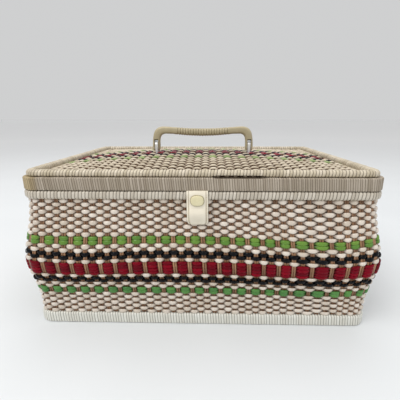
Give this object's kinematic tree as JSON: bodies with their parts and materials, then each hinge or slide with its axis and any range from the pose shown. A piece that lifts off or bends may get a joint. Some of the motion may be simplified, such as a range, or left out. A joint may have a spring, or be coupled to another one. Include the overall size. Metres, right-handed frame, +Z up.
{
  "type": "sewing box with trays",
  "caption": "Bellied woven sewing box with a hinged domed lid, folding carry handle, snap strap, satin lining and lift-out compartment trays.",
  "frame": {"origin": "middle of the base, on the surface it stands on", "axes": "+Z up; +X to the right, along the long side; the front with the snap strap faces -Y and the hinges are at +Y"},
  "size_m": [0.3762, 0.2702, 0.2076],
  "materials": {
    "board": "plain hardboard",
    "cane": "bare split cane",
    "foot_vinyl": "glossy wrapped strip",
    "stake": "glossy flat strand",
    "white_strand": "glossy tubular strand",
    "green_strand": "glossy tubular strand",
    "black_strand": "glossy tubular strand",
    "red_strand": "glossy tubular strand",
    "rim_vinyl": "glossy wrapped strip",
    "satin": "satin weave",
    "ledge_wood": "plain softwood",
    "hinge_brass": "satin, lightly aged",
    "pin_steel": "bright",
    "snap_steel": "bright plated",
    "band_vinyl": "fine wrapped strand, dull",
    "border_vinyl": "glossy wrapped strip",
    "card": "plain board",
    "bright_metal": "bright plated",
    "strap_vinyl": "embossed smooth, ivory",
    "grip_plastic": "moulded, semi-gloss",
    "cap_plastic": "moulded, gloss",
    "tray_plastic": "injection moulded, satin gloss"
  },
  "bodies": {
    "basket": {"base_board": "board", "foot_hoop": "cane", "foot_wrap": "foot_vinyl", "front_stakes": "stake", "rear_stakes": "stake", "left_stakes": "stake", "right_stakes": "stake", "corner_stakes": "stake", "white_weavers": "white_strand", "green_weavers": "green_strand", "black_weavers": "black_strand", "red_weavers": "red_strand", "rim_hoop": "cane", "rim_wrap": "rim_vinyl", "front_lining": "satin", "rear_lining": "satin", "left_lining": "satin", "right_lining": "satin", "floor_pad": "satin", "front_ledge": "ledge_wood", "rear_ledge": "ledge_wood", "hinge_leaves_body": "hinge_brass", "hinge_pins": "pin_steel", "hinge_screws_body": "hinge_brass", "snap_stud": "snap_steel"},
    "lid": {"lid_frame": "cane", "lid_band_wrap": "band_vinyl", "border_hoop": "cane", "border_wrap": "border_vinyl", "lid_stakes": "stake", "lid_white_weavers": "white_strand", "lid_green_weavers": "green_strand", "lid_black_weavers": "black_strand", "lid_red_weavers": "red_strand", "lid_card": "card", "lid_pad": "satin", "hinge_leaves_lid": "hinge_brass", "hinge_screws_lid": "hinge_brass", "handle_staples": "bright_metal", "staple_plates": "bright_metal", "strap_tab": "strap_vinyl", "strap_tacks": "snap_steel"},
    "handle": {"handle_grip": "grip_plastic"},
    "latch": {"latch_strap": "strap_vinyl", "snap_cap": "cap_plastic", "snap_socket": "snap_steel"},
    "tray_left": {"left_tray": "tray_plastic"},
    "tray_right": {"right_tray": "tray_plastic"}
  },
  "joints": [
    {"name": "lid_hinge", "type": "hinge", "parent": "basket", "child": "lid", "pos_m": [0, 0.1297, 0.15], "axis": [-1, 0, 0], "range_deg": [0, 105]},
    {"name": "handle_swing", "type": "hinge", "parent": "lid", "child": "handle", "pos_m": [0, 0, 0.184], "axis": [1, 0, 0], "range_deg": [-98, 98]},
    {"name": "strap_swing", "type": "hinge", "parent": "lid", "child": "latch", "pos_m": [-0.003, -0.1284, 0.1502], "axis": [-1, 0, 0], "range_deg": [0, 100]},
    {"name": "left_tray_lift", "type": "slide", "parent": "basket", "child": "tray_left", "axis": [0, 0, 1], "range_m": [0, 0.015]},
    {"name": "right_tray_lift", "type": "slide", "parent": "basket", "child": "tray_right", "axis": [0, 0, 1], "range_m": [0, 0.015]}
  ]
}
